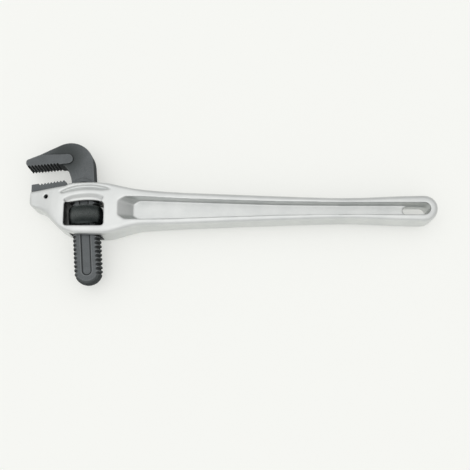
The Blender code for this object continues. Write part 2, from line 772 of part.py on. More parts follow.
def leaf_points():
    """The flat spring seen along Z: flat on the wall at its rivet, bowed towards the shank."""
    wall = spring_wall_x() - GAP - LEAF_THICKNESS / 2
    shank_side = -COIL_Y * math.tan(LEAN) + THREAD_RADIUS / math.cos(LEAN)
    touch = shank_side + GAP + LEAF_THICKNESS / 2
    return smooth_through(
        [
            (wall, RIVET_Y - 2.9),
            (wall, RIVET_Y),
            (wall, RIVET_Y + 2.6),
            (touch + 0.9, COIL_Y - 2.6),
            (touch, COIL_Y),
            (touch + 0.5, COIL_Y + 2.8),
            (touch + 2.2, COIL_Y + 6.0),
        ],
        steps=3,
    )


def flat_spring():
    bm = bmesh.new()
    low = [bm.verts.new((x * MM, y * MM, -LEAF_HALF * MM)) for x, y in leaf_points()]
    edges = [bm.edges.new(pair) for pair in zip(low, low[1:])]
    grown = bmesh.ops.extrude_edge_only(bm, edges=edges)["geom"]
    raised = [v for v in grown if isinstance(v, bmesh.types.BMVert)]
    bmesh.ops.translate(bm, verts=raised, vec=(0, 0, 2 * LEAF_HALF * MM))
    mesh = bpy.data.meshes.new("flat_spring")
    bm.to_mesh(mesh)
    bm.free()
    leaf = object_from("flat_spring", mesh)
    wall = leaf.modifiers.new("gauge", "SOLIDIFY")
    wall.thickness = LEAF_THICKNESS * MM
    wall.offset = 0.0
    leaf = baked(leaf)
    hole = drill("leaf_hole", (spring_wall_x(), RIVET_Y, 0), RIVET_RADIUS + GAP, OVER, "X", 12)
    return cut(leaf, hole)


def coil_spring():
    """A compression spring between the bottom of its bore and the back of the flat spring."""
    reach = COIL_RADIUS + COIL_WIRE + GAP
    behind = max(x for x, y in leaf_points() if abs(y - COIL_Y) < reach)
    start = behind + LEAF_THICKNESS / 2 + GAP
    first, last = start + COIL_WIRE + 0.2, SPRING_BORE_END - GAP - COIL_WIRE
    count = COIL_TURNS * COIL_POINTS
    curve = bpy.data.curves.new("coil_spring", "CURVE")
    curve.dimensions = "3D"
    curve.bevel_depth = COIL_WIRE * MM
    curve.bevel_resolution = 1
    curve.use_fill_caps = True
    spline = curve.splines.new("POLY")
    spline.points.add(count)
    for i, knot in enumerate(spline.points):
        turn = 2 * math.pi * i / COIL_POINTS
        x = first + (last - first) * i / count
        y = COIL_Y + COIL_RADIUS * math.cos(turn)
        z = COIL_RADIUS * math.sin(turn)
        knot.co = (x * MM, y * MM, z * MM, 1.0)
    return baked(object_from("coil_spring", curve))


def spring_rivet():
    """The rivet that holds the flat spring to the passage wall, head inwards."""
    wall = spring_wall_x() - GAP - LEAF_THICKNESS - GAP
    far = spring_wall_x() + RIVET_LENGTH
    profile = [
        (0, -wall + RIVET_HEAD),
        (RIVET_HEAD_RADIUS * 0.6, -wall + RIVET_HEAD),
        (RIVET_HEAD_RADIUS, -wall + RIVET_HEAD * 0.4),
        (RIVET_HEAD_RADIUS, -wall),
        (RIVET_RADIUS, -wall),
        (RIVET_RADIUS, -far),
        (0, -far),
    ]
    rivet = turned("spring_rivet", profile, 16)
    rivet.data.transform(Matrix.Rotation(math.pi / 2, 4, "Z"))
    rivet.data.transform(Matrix.Translation((0, RIVET_Y * MM, 0)))
    return rivet


# ---------------------------------------------------------------- assembly


def hold(obj, parent):
    """Parents obj, whose mesh is already in its parent's frame."""
    obj.parent = parent
    return obj


def empty(name, parent=None):
    obj = object_from(name, None)
    obj.parent = parent
    return obj


def stand_at_bottom_centre(root, pieces):
    """Moves the root so that the row's origin is under the middle of the wrench's box."""
    bpy.context.view_layer.update()
    corners = [p.matrix_world @ v.co for p in pieces for v in p.data.vertices]
    low = Vector([min(c[k] for c in corners) for k in range(3)])
    high = Vector([max(c[k] for c in corners) for k in range(3)])
    root.location -= Vector(((low.x + high.x) / 2, (low.y + high.y) / 2, low.z))


clear_scene()
wrench = new_collection("pipe_wrench")
cutters = new_collection("cutters")
aluminium = finish("cast_aluminium", (0.66, 0.68, 0.69), 0.42, 0.8)
forged = finish("forged_steel", (0.075, 0.08, 0.085), 0.5, 0.6)
blackened = finish("blackened_steel", (0.03, 0.035, 0.035), 0.45, 0.7)
spring_steel = finish("spring_steel", (0.3, 0.3, 0.31), 0.35, 1.0)

root = empty("wrench_frame")
pivot = empty("rocking_pivot", root)
pivot.rotation_euler.z = LEAN

fixed = {"handle_casting": casting(), "heel_jaw": heel_jaw(), "heel_jaw_pin": heel_pin()}
fixed["spring_rivet"] = spring_rivet()
fixed["coil_spring"] = coil_spring()
leaf = flat_spring()
rocking = {"hook_jaw": hook_jaw(), "adjusting_nut": adjusting_nut()}

finishes = {
    "handle_casting": aluminium,
    "heel_jaw": forged,
    "hook_jaw": forged,
    "adjusting_nut": blackened,
    "heel_jaw_pin": blackened,
    "spring_rivet": spring_steel,
    "coil_spring": spring_steel,
    "flat_spring": spring_steel,
}

for piece in [*fixed.values(), leaf]:
    hold(piece, root)
for piece in rocking.values():
    hold(piece, pivot)
leaf.parent = pivot
leaf.data.transform(Matrix.Rotation(-LEAN, 4, "Z"))

everything = [*fixed.values(), leaf, *rocking.values()]
for piece in everything:
    piece.data.materials.clear()
    piece.data.materials.append(finishes[piece.name])
    shade(piece)

stand_at_bottom_centre(root, everything)
bpy.context.view_layer.update()
print("pivot at", [round(c, 6) for c in pivot.matrix_world.translation])
print("shank axis", [round(c, 6) for c in pivot.matrix_world.to_3x3() @ Vector((0, 1, 0))])
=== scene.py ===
# %% [markdown]
# # An offset pipe wrench
# A heavy aluminium pipe wrench lies on its side on a pale floor. Its handle and the housing for
# the jaw are one casting. A forged hook jaw slides through the housing on a threaded shank, a
# knurled nut in a window drives it, and a toothed heel jaw is let into the casting's top.
#
# This lesson dresses a mechanical model of the wrench. The model says how big each part is, where
# it stands and how it moves. Here each part gets the shape and the finish of the real thing.

import json
import math

import bmesh
import bpy
from mathutils import Matrix, Vector


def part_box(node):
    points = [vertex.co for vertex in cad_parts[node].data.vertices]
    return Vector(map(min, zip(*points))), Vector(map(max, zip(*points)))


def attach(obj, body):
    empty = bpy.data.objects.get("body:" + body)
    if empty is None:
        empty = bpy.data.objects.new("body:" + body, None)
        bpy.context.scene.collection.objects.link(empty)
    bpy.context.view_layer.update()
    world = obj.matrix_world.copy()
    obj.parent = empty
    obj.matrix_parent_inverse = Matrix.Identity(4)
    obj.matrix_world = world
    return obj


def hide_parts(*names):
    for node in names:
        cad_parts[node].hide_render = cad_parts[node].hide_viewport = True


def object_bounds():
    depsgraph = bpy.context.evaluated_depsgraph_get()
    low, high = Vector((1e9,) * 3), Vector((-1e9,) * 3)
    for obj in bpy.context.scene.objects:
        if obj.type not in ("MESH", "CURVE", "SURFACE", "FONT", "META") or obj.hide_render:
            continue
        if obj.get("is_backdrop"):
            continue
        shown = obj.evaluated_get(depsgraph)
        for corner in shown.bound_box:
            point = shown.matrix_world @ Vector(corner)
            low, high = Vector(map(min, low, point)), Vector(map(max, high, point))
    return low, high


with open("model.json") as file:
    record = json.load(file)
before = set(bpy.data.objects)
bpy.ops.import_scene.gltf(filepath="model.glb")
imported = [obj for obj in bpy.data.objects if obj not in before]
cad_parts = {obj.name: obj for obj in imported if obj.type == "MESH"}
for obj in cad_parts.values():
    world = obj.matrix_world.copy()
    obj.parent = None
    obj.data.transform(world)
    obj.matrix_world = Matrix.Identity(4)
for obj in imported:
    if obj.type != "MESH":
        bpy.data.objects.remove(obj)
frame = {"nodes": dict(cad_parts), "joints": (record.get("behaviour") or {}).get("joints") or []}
cad_low, cad_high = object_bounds()
MM = 0.001
print("the model's box in mm:", [round((b - a) / MM, 1) for a, b in zip(cad_low, cad_high)])

# %% [markdown]
# ## The camera
# The wrench is seen from almost straight above, from a little in front of it, so the camera leans
# 9 degrees from the vertical. The lens is close to a normal one. The frame sits higher than the
# lens points, which a real camera does with a rising lens board and Blender with Shift Y.

# %% Place the camera
CAMERA_LEAN = math.radians(9)
CAMERA_DISTANCE = 0.706
CAMERA_TARGET = Vector((0.004578, -0.10005, 0.0196))
back = Vector((0, -math.sin(CAMERA_LEAN), math.cos(CAMERA_LEAN)))
bpy.ops.object.camera_add(location=CAMERA_TARGET + CAMERA_DISTANCE * back, rotation=(CAMERA_LEAN, 0, 0))
camera = bpy.context.object
camera.data.sensor_width = 36
camera.data.lens = 49.48
camera.data.shift_y = 0.1447
camera.data.clip_start = 0.01
bpy.context.scene.camera = camera
bpy.context.scene.view_settings.view_transform = "Standard"
print("camera at", [round(c, 3) for c in camera.location])

# %% [markdown]
# ## The floor and the light
# The floor is a plain pale sheet, lit a little from below as on a light table, which keeps the
# shadows faint. It is only a stage, so it is marked as one and isn't part of the wrench.
#
# Satin metal mostly shows what stands round it. A studio hangs large white screens round such a
# piece: one overhead makes the flat faces bright, and the room between the screens stays darker,
# so that every slope is a step darker and the casting's shape can be read. Here the screens are
# soft lobes painted on the sky. Each one is brightest in one direction and fades away from it, and
# a higher power makes it narrower. The screen on the left is stronger than the one on the right.
# One small lamp at the upper left adds a glint to the nut.

# %% Lay the floor
bpy.ops.object.select_all(action="DESELECT")
bpy.ops.mesh.primitive_plane_add(size=8, location=(0, 0, 0))
floor = bpy.context.object
floor.name = "floor"
floor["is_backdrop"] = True

# %% Hang the screens
EVEN_LIGHT = 0.48
SCREENS = {
    "overhead": ((0, 0, 1), 4, 0.45),
    "overhead, narrow": ((0, 0, 1), 12, 0.48),
    "left": ((-1, 0, 0.6), 3, 0.40),
    "right": ((1, 0, 0.6), 3, 0.14),
    "front": ((0, -1, 0.6), 3, 0.35),
    "back": ((0, 1, 0.6), 3, 0.12),
}
world = bpy.data.worlds.new("studio_sky")
bpy.context.scene.world = world
world.use_nodes = True
sky = world.node_tree
direction = sky.nodes.new("ShaderNodeTexCoord").outputs["Generated"]
brightness = sky.nodes.new("ShaderNodeValue").outputs[0]
brightness.default_value = EVEN_LIGHT
for toward, power, strength in SCREENS.values():
    facing = sky.nodes.new("ShaderNodeVectorMath")
    facing.operation = "DOT_PRODUCT"
    facing.inputs[1].default_value = Vector(toward).normalized()
    sky.links.new(direction, facing.inputs[0])
    steps = [("MAXIMUM", 0), ("POWER", power), ("MULTIPLY", strength), ("ADD", brightness)]
    value = facing.outputs["Value"]
    for operation, amount in steps:
        step = sky.nodes.new("ShaderNodeMath")
        step.operation = operation
        sky.links.new(value, step.inputs[0])
        if operation == "ADD":
            sky.links.new(amount, step.inputs[1])
        else:
            step.inputs[1].default_value = amount
        value = step.outputs[0]
    brightness = value
sky.links.new(brightness, sky.nodes["Background"].inputs["Strength"])
sky.nodes["Background"].inputs["Color"].default_value = (1.0, 1.0, 0.995, 1)
print(len(SCREENS), "screens on the sky")

# %% Hang the small lamp
LAMP_PLACE = Vector((-0.43, 0.31, 1.16))
LAMP_WATTS = 0.12
bpy.ops.object.light_add(type="AREA", location=LAMP_PLACE)
lamp = bpy.context.object
lamp.data.shape = "DISK"
lamp.data.size = 0.16
lamp.data.energy = LAMP_WATTS
TOP_OF_THE_NUT = Vector((-0.161, -0.004, 0.04))
lamp.rotation_euler = (TOP_OF_THE_NUT - LAMP_PLACE).to_track_quat("-Z", "Y").to_euler()
print("lamp at", list(LAMP_PLACE))

# %% [markdown]
# ## Small tools for modelling
# The parts come as loose triangles, so a copy is merged before it is worked on. Blender's
# operators act on all that is selected, so each one starts with nothing selected but the piece.
# A modifier is applied as soon as it is set, as a modeller does when a step is finished.


# %% Tools for pieces
def only(piece):
    """Selects this piece and nothing else."""
    bpy.ops.object.select_all(action="DESELECT")
    piece.select_set(True)
    bpy.context.view_layer.objects.active = piece


def copy_of(node, name):
    """A merged copy of a model part, with its own mesh and no finish yet."""
    piece = bpy.data.objects.new(name, frame["nodes"][node].data.copy())
    bpy.context.scene.collection.objects.link(piece)
    piece.data.materials.clear()
    only(piece)
    bpy.ops.mesh.customdata_custom_splitnormals_clear()
    bpy.ops.object.mode_set(mode="EDIT")
    bpy.ops.mesh.select_all(action="SELECT")
    bpy.ops.mesh.remove_doubles(threshold=1e-6)
    bpy.ops.object.mode_set(mode="OBJECT")
    return piece


def shaped_by(piece, kind, **settings):
    """Adds a modifier with these settings and applies it at once."""
    only(piece)
    modifier = piece.modifiers.new(kind.lower(), kind)
    for setting, value in settings.items():
        setattr(modifier, setting, value)
    bpy.ops.object.modifier_apply(modifier=modifier.name)
    return piece


def report(piece):
    """Prints a piece's size and how many triangles it has."""
    corners = [Vector(c) for c in piece.bound_box]
    size = [round((max(c[i] for c in corners) - min(c[i] for c in corners)) / MM, 1) for i in range(3)]
    triangles = sum(len(face.vertices) - 2 for face in piece.data.polygons)
    print(f"{piece.name}: {size} mm, {triangles} triangles")


# %% [markdown]
# ## The casting
# The handle and the housing are one sand casting in aluminium, blasted and left bright. Molten
# metal doesn't fill a sharp corner and a sand mould doesn't hold one, so every edge and every
# inside corner of a real casting is rounded. Bevels would have to be set edge by edge, and they
# fail where many small faces meet. So the whole skin is rebuilt in small even cells instead, and
# the cells are then smoothed, which rounds all edges alike, as blasting does. Small cells give
# clean rims but too many faces, so the faces that the shape can spare are taken out at the end.

# %% Round the casting all over
CASTING_CELL = 0.6 * MM
CASTING_SMOOTHING = 16
CASTING_KEPT = 0.36
casting = copy_of("handle_casting", "handle_and_housing")
shaped_by(casting, "REMESH", mode="VOXEL", voxel_size=CASTING_CELL)
shaped_by(casting, "SMOOTH", factor=0.5, iterations=CASTING_SMOOTHING)
shaped_by(casting, "DECIMATE", ratio=CASTING_KEPT)
bpy.ops.object.shade_smooth()
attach(casting, "handle")
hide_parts("handle_casting")
report(casting)

# %% [markdown]
# ## The hook jaw
# The hook jaw is a steel forging. Its body came out of the dies with soft edges, and its teeth,
# thread and flats were cut afterwards, so those edges are crisp. The same small cells as on the
# casting round it, but finer and smoothed only a little, or the teeth and the thread would melt.
# Then the forged body alone is smoothed again: its points are gathered in a vertex group by their
# place, and the teeth, the thread and the shank's flats stay out of the group.

# %% Round the hook jaw
JAW_CELL = 0.51 * MM
LIGHT_SMOOTHING, BODY_SMOOTHING = 3, 12
hook = copy_of("hook_jaw", "hook_jaw_forging")
shaped_by(hook, "REMESH", mode="VOXEL", voxel_size=JAW_CELL)
shaped_by(hook, "SMOOTH", factor=0.5, iterations=LIGHT_SMOOTHING)

# %% Smooth the forged body again
hook_low, hook_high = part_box("hook_jaw")
CROWN_BOTTOM = hook_high.y - 30 * MM
STEM_LEFT = hook_low.x + 29 * MM
FADE_UP, FADE_ACROSS = 6 * MM, 4 * MM
forged_body = hook.vertex_groups.new(name="forged_body")
for vertex in hook.data.vertices:
    above = (vertex.co.y - CROWN_BOTTOM) / FADE_UP
    beside = (vertex.co.x - STEM_LEFT) / FADE_ACROSS
    forged_body.add([vertex.index], min(1, max(0, min(above, beside))), "REPLACE")
shaped_by(hook, "SMOOTH", factor=0.5, iterations=BODY_SMOOTHING, vertex_group="forged_body")
bpy.ops.object.shade_smooth()
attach(hook, "hook_jaw")
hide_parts("hook_jaw")
report(hook)

# %% [markdown]
# ## The heel jaw
# The heel jaw is a small steel block with teeth on its top and a tongue that goes down into the
# casting. It is hardened and it can be changed when its teeth are worn. Its edges are only
# broken with a file, so its cells are the finest and it is smoothed the least.

# %% Break the heel jaw's edges
HEEL_CELL = 0.3 * MM
heel = copy_of("heel_jaw", "heel_jaw_block")
shaped_by(heel, "REMESH", mode="VOXEL", voxel_size=HEEL_CELL)
shaped_by(heel, "SMOOTH", factor=0.5, iterations=LIGHT_SMOOTHING)
bpy.ops.object.shade_smooth()
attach(heel, "handle")
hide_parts("heel_jaw")
report(heel)

# %% [markdown]
# ## The knurled nut
# A thumb turns the nut, so its rim is knurled: two families of spiral grooves cross and leave rows
# of small pyramids. On a lathe a pair of cut wheels rolls them in. Here the rim is a grid of
# points round a cylinder. Every second point, as on a chessboard, is pushed in to where two
# grooves cross, and each square is then split along its groove. What is left is the knurl.
#
# The rim swells a little in the middle, and it is kept just inside the model's nut. The knurled
# plug is solid. It is then cut to what it shares with the model's nut, which gives it the real
# bore with its thread.

# %% Measure the nut
nut_joint = next(j for j in frame["joints"] if j["name"] == "nut_spin")
NUT_CENTRE = Vector(nut_joint["pos_m"])
NUT_AXIS = Vector(nut_joint["axis"]).normalized()
nut_low, nut_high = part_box("adjusting_nut")
INSIDE_THE_MODEL = 0.2 * MM
NUT_RADIUS = (nut_high.z - nut_low.z) / 2 - INSIDE_THE_MODEL
NUT_HALF_HEIGHT = 10.5 * MM
NUT_CHAMFER = 1.6 * MM
NUT_BARREL = 0.7 * MM
KNURL_PITCH = 2.0 * MM
KNURL_DEPTH = 0.5 * MM
KNURL_COLUMNS = 4 * round(math.pi * NUT_RADIUS / KNURL_PITCH)
RIM_HEIGHT = 2 * (NUT_HALF_HEIGHT - NUT_CHAMFER)
KNURL_ROWS = round(RIM_HEIGHT / (KNURL_PITCH / 2))
END_RADIUS = NUT_RADIUS - NUT_BARREL - NUT_CHAMFER
print("knurl:", KNURL_COLUMNS, "columns by", KNURL_ROWS, "rows")


# %% Raise the rim row by row
def raise_ring(rise, radius_from, radius_to):
    """Extrudes the selected ring of edges up by rise and brings it to a new radius."""
    bpy.ops.mesh.extrude_region_move(TRANSFORM_OT_translate={"value": (0, 0, rise)})
    scale = radius_to / radius_from
    if scale != 1:
        bpy.ops.transform.resize(value=(scale, scale, 1), center_override=(0, 0, 0))


def barrel_radius(row):
    """The rim's radius at this row. It is largest in the middle, where the thumb rolls it."""
    from_middle = 2 * row / KNURL_ROWS - 1
    return NUT_RADIUS - NUT_BARREL * from_middle**2


bpy.ops.object.select_all(action="DESELECT")
bpy.ops.mesh.primitive_circle_add(
    vertices=KNURL_COLUMNS, radius=END_RADIUS, location=(0, 0, -NUT_HALF_HEIGHT)
)
nut = bpy.context.object
nut.name = "knurled_nut"
bpy.ops.object.transform_apply(location=True, rotation=True, scale=True)
bpy.ops.object.mode_set(mode="EDIT")
bpy.ops.mesh.select_mode(type="VERT")
bpy.ops.mesh.select_all(action="SELECT")
bpy.ops.mesh.edge_face_add()
raise_ring(NUT_CHAMFER, END_RADIUS, barrel_radius(0))
for row in range(KNURL_ROWS):
    raise_ring(RIM_HEIGHT / KNURL_ROWS, barrel_radius(row), barrel_radius(row + 1))
raise_ring(NUT_CHAMFER, barrel_radius(KNURL_ROWS), END_RADIUS)


# %% Press the knurl in
def at_a_crossing(point):
    """True where two grooves cross: every second point of the rim, as on a chessboard."""
    row = round((point.z + RIM_HEIGHT / 2) / RIM_HEIGHT * KNURL_ROWS)
    column = round(math.atan2(point.y, point.x) / (2 * math.pi) * KNURL_COLUMNS)
    on_rim = Vector(point[:2]).length > NUT_RADIUS - NUT_BARREL - 0.1 * MM
    return on_rim and (row + column) % 2 == 1


bpy.ops.mesh.select_all(action="DESELECT")
rim = bmesh.from_edit_mesh(nut.data)
for vertex in rim.verts:
    vertex.select = at_a_crossing(vertex.co)
rim.select_flush_mode()
bmesh.update_edit_mesh(nut.data)
sunk = 1 - KNURL_DEPTH / NUT_RADIUS
bpy.ops.transform.resize(value=(sunk, sunk, 1), center_override=(0, 0, 0))
bpy.ops.mesh.select_all(action="SELECT")
bpy.ops.mesh.quads_convert_to_tris(quad_method="SHORTEST_DIAGONAL")
bpy.ops.mesh.normals_make_consistent(inside=False)
bpy.ops.object.mode_set(mode="OBJECT")

# %% Stand the nut on its axis and give it its threaded bore
upright = NUT_AXIS.to_track_quat("Z", "X").to_matrix().to_4x4()
nut.matrix_world = Matrix.Translation(NUT_CENTRE) @ upright
only(nut)
bpy.ops.object.transform_apply(location=True, rotation=True, scale=True)
bored = copy_of("adjusting_nut", "bored_nut")
shaped_by(nut, "BOOLEAN", operation="INTERSECT", solver="EXACT", object=bored)
bpy.data.objects.remove(bored)
only(nut)
bpy.ops.object.shade_smooth_by_angle(angle=math.radians(20))
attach(nut, "adjusting_nut")
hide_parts("adjusting_nut")
report(nut)

# %% [markdown]
# ## The roll pin
# The heel jaw's tongue is held by a roll pin: a strip of spring steel rolled into a tube that
# doesn't quite close, with its ends chamfered so that it can be driven in. It starts as an open
# cylinder. A strip of faces is taken out for the slit, the wall gets its thickness, and a bevel
# breaks the ends.

# %% Roll the pin
pin_low, pin_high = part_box("heel_jaw_pin")
pin_middle, pin_size = (pin_low + pin_high) / 2, pin_high - pin_low
PIN_SIDES = 40
PIN_WALL = 0.55 * MM
PIN_SLIT = math.radians(27)
PIN_EDGE = 0.15 * MM
bpy.ops.object.select_all(action="DESELECT")
bpy.ops.mesh.primitive_cylinder_add(
    vertices=PIN_SIDES,
    radius=pin_size.x / 2,
    depth=pin_size.z,
    end_fill_type="NOTHING",
    location=pin_middle,
)
pin = bpy.context.object
pin.name = "roll_pin"
bpy.ops.object.transform_apply(location=True, rotation=True, scale=True)
bpy.ops.object.mode_set(mode="EDIT")
bpy.ops.mesh.select_mode(type="FACE")
bpy.ops.mesh.select_all(action="DESELECT")
wall = bmesh.from_edit_mesh(pin.data)
for face in wall.faces:
    toward = face.calc_center_median() - pin_middle
    face.select = abs(math.atan2(toward.x, toward.y)) < PIN_SLIT / 2
bmesh.update_edit_mesh(pin.data)
bpy.ops.mesh.delete(type="FACE")
bpy.ops.object.mode_set(mode="OBJECT")
shaped_by(pin, "SOLIDIFY", thickness=PIN_WALL, offset=-1)
shaped_by(
    pin, "BEVEL", width=PIN_EDGE, segments=2, limit_method="ANGLE", angle_limit=math.radians(50)
)
bpy.ops.object.shade_smooth_by_angle(angle=math.radians(35))
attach(pin, "handle")
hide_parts("heel_jaw_pin")
report(pin)

# %% [markdown]
# ## Building finishes from nodes
# A finish is more than one colour. Each one here mixes a few effects: a grain that is there on all
# metal, larger cloudy patches, bright wear on the edges, darker inside corners, and painted shade
# deep in the grooves. Those effects are node groups, made once and used in every finish with their
# own values. The tools below keep each finish short to write.


# %% Tools for nodes
def add_node(tree, kind, values=None, **settings):
    """Adds a node, sets it, and gives each named socket a value or a link."""
    node = tree.nodes.new(kind)
    for setting, value in settings.items():
        setattr(node, setting, value)
    for socket, value in (values or {}).items():
        if isinstance(value, bpy.types.NodeSocket):
            tree.links.new(value, node.inputs[socket])
        else:
            node.inputs[socket].default_value = value
    return node


def maths(tree, operation, a, b=0.0):
    """One sum on two values."""
    return add_node(tree, "ShaderNodeMath", {0: a, 1: b}, operation=operation).outputs[0]


def remap(tree, value, low, high, to_low=0.0, to_high=1.0):
    """Stretches a value's range from low and high to to_low and to_high, with soft ends."""
    values = {"Value": value, "From Min": low, "From Max": high, "To Min": to_low, "To Max": to_high}
    return add_node(tree, "ShaderNodeMapRange", values, interpolation_type="SMOOTHSTEP").outputs[0]


def mixed(tree, share, a, b):
    """Colour a where share is 0, colour b where it is 1."""
    return add_node(tree, "ShaderNodeMix", {0: share, 6: a, 7: b}, data_type="RGBA").outputs[2]


def speckle(tree, place, size, detail=2.0):
    """Noise from 0 to 1 whose spots are about this size, in metres."""
    values = {"Vector": place, "Scale": 1 / size, "Detail": detail, "Roughness": 0.6}
    return add_node(tree, "ShaderNodeTexNoise", values).outputs["Fac"]


def start_group(name, inputs, outputs):
    """An empty node group with these number sockets, and its two end nodes."""
    group = bpy.data.node_groups.new(name, "ShaderNodeTree")
    for socket, value in inputs.items():
        made = group.interface.new_socket(socket, in_out="INPUT", socket_type="NodeSocketFloat")
        made.default_value = value
    for socket in outputs:
        group.interface.new_socket(socket, in_out="OUTPUT", socket_type="NodeSocketFloat")
    return group, group.nodes.new("NodeGroupInput"), group.nodes.new("NodeGroupOutput")


def effect(tree, group, **values):
    """Places a group in a finish with its own values."""
    node = add_node(tree, "ShaderNodeGroup", node_tree=group)
    for socket, value in values.items():
        node.inputs[socket].default_value = value
    return node.outputs


# %% [markdown]
# ### The shared effects
# ** Metal grain** is the fine tooth that blasting, forging or rolling leaves, with larger patches
# where the surface took the treatment a little differently. **Worn edges** uses the mesh itself:
# Pointiness is high on a ridge and low in a corner, so it finds the places that hands and benches
# rub, and the tight corners. **Crevice shade** is painted shade. It asks how much of the open air a
# point sees within a short reach. A point deep between two teeth sees little, and there the colour
# is painted darker, as shade. Only the piece itself may hide the air, so the painted shade doesn't
# change when a jaw moves.

# %% Metal grain
grain_group, grain_in, grain_out = start_group(
    "metal_grain", {"Grain per metre": 3000.0, "Patches per metre": 60.0}, ("Grain", "Patches")
)
place = add_node(grain_group, "ShaderNodeTexCoord").outputs["Object"]
for socket, rate, detail in (("Grain", "Grain per metre", 2.0), ("Patches", "Patches per metre", 4.0)):
    noise_values = {"Vector": place, "Scale": grain_in.outputs[rate], "Detail": detail}
    noise = add_node(grain_group, "ShaderNodeTexNoise", noise_values)
    grain_group.links.new(remap(grain_group, noise.outputs["Fac"], 0.3, 0.7), grain_out.inputs[socket])

# %% Worn edges
wear_group, wear_in, wear_out = start_group(
    "worn_edges", {"Edge start": 0.52, "Edge full": 0.6, "Patches per metre": 250.0}, ("Edge", "Corner")
)
place = add_node(wear_group, "ShaderNodeTexCoord").outputs["Object"]
ridge = add_node(wear_group, "ShaderNodeNewGeometry").outputs["Pointiness"]
noise_values = {"Vector": place, "Scale": wear_in.outputs["Patches per metre"], "Detail": 3.0}
noise = add_node(wear_group, "ShaderNodeTexNoise", noise_values)
broken = remap(wear_group, noise.outputs["Fac"], 0.3, 0.7)
edge_values = {
    "Value": ridge,
    "From Min": wear_in.outputs["Edge start"],
    "From Max": wear_in.outputs["Edge full"],
}
edge = add_node(wear_group, "ShaderNodeMapRange", edge_values).outputs[0]
edge = maths(wear_group, "MULTIPLY", edge, maths(wear_group, "MULTIPLY_ADD", broken, 0.6))
wear_group.links.new(edge, wear_out.inputs["Edge"])
wear_group.links.new(remap(wear_group, ridge, 0.49, 0.42), wear_out.inputs["Corner"])

# %% Crevice shade (painted shade)
shade_group, shade_in, shade_out = start_group(
    "painted_crevice_shade", {"Reach": 0.002, "Open": 0.8, "Closed": 0.4}, ("Crevice shade",)
)
# Painted shade: the less open air a point sees within the reach, the darker its colour is painted.
air = add_node(
    shade_group, "ShaderNodeAmbientOcclusion", {"Distance": shade_in.outputs["Reach"]}, only_local=True
)
dirt_values = {
    "Value": air.outputs["AO"],
    "From Min": shade_in.outputs["Open"],
    "From Max": shade_in.outputs["Closed"],
}
crevice_shade = add_node(shade_group, "ShaderNodeMapRange", dirt_values).outputs[0]
shade_group.links.new(crevice_shade, shade_out.inputs["Crevice shade"])
print("effects:", [g.name for g in bpy.data.node_groups])


# %% [markdown]
# ### Cast aluminium
# The casting was blasted with fine grit, which gives an even satin silver with a very fine tooth.
# The tooth is far too small to model, so it is a bump and a small change of roughness. The edges
# are a little brighter, and the inside corners are a little darker. Inside the housing, round the
# nut, the skin is painted near black as shade. That is a box of places, with soft borders.

# %% Start a finish
def start_finish(name):
    """A new material, its node tree and its shader."""
    material = bpy.data.materials.new(name)
    material.use_nodes = True
    tree = material.node_tree
    return material, tree, tree.nodes["Principled BSDF"]


def raise_bump(tree, shader, height, distance, strength=1.0):
    """Feeds a height to the shader's normal. The distance is in metres."""
    bump_values = {"Height": height, "Distance": distance, "Strength": strength}
    bump = add_node(tree, "ShaderNodeBump", bump_values)
    tree.links.new(bump.outputs[0], shader.inputs["Normal"])


# %% Cast aluminium
WINDOW_HEART = (nut_low + nut_high) / 2
NUT_SPAN = (nut_high - nut_low) / 2
WINDOW_REACH = (NUT_SPAN.x + 2.8 * MM, NUT_SPAN.y + 2.2 * MM, 16.0 * MM)
SHADE_BORDER = 0.4 * MM
cast, tree, shader = start_finish("blasted_aluminium")
grain = effect(tree, grain_group, **{"Grain per metre": 2600.0, "Patches per metre": 45.0})
wear = effect(tree, wear_group, **{"Edge start": 0.505, "Edge full": 0.56, "Patches per metre": 180.0})
silver = mixed(tree, grain["Patches"], (0.635, 0.65, 0.642, 1), (0.69, 0.703, 0.692, 1))
silver = mixed(tree, maths(tree, "MULTIPLY", wear["Edge"], 0.5), silver, (0.80, 0.81, 0.80, 1))
silver = mixed(tree, maths(tree, "MULTIPLY", wear["Corner"], 0.35), silver, (0.39, 0.405, 0.40, 1))
place = add_node(tree, "ShaderNodeTexCoord").outputs["Object"]
from_heart = add_node(tree, "ShaderNodeVectorMath", {0: place, 1: WINDOW_HEART}, operation="SUBTRACT")
across = add_node(tree, "ShaderNodeSeparateXYZ", {0: from_heart.outputs[0]})
# Painted shade: a soft box round the nut, inside the housing, is painted near black.
inside = 1.0
for axis, reach in zip("XYZ", WINDOW_REACH):
    off_heart = maths(tree, "ABSOLUTE", across.outputs[axis])
    within = remap(tree, off_heart, reach + SHADE_BORDER, reach - SHADE_BORDER)
    inside = maths(tree, "MULTIPLY", inside, within)
silver = mixed(tree, maths(tree, "MULTIPLY", inside, 0.97), silver, (0.012, 0.017, 0.017, 1))
tree.links.new(silver, shader.inputs["Base Color"])
tree.links.new(remap(tree, grain["Grain"], 0, 1, 0.34, 0.44), shader.inputs["Roughness"])
shader.inputs["Metallic"].default_value = 0.92
raise_bump(tree, shader, grain["Grain"], 0.06 * MM, 0.35)
casting.data.materials.append(cast)
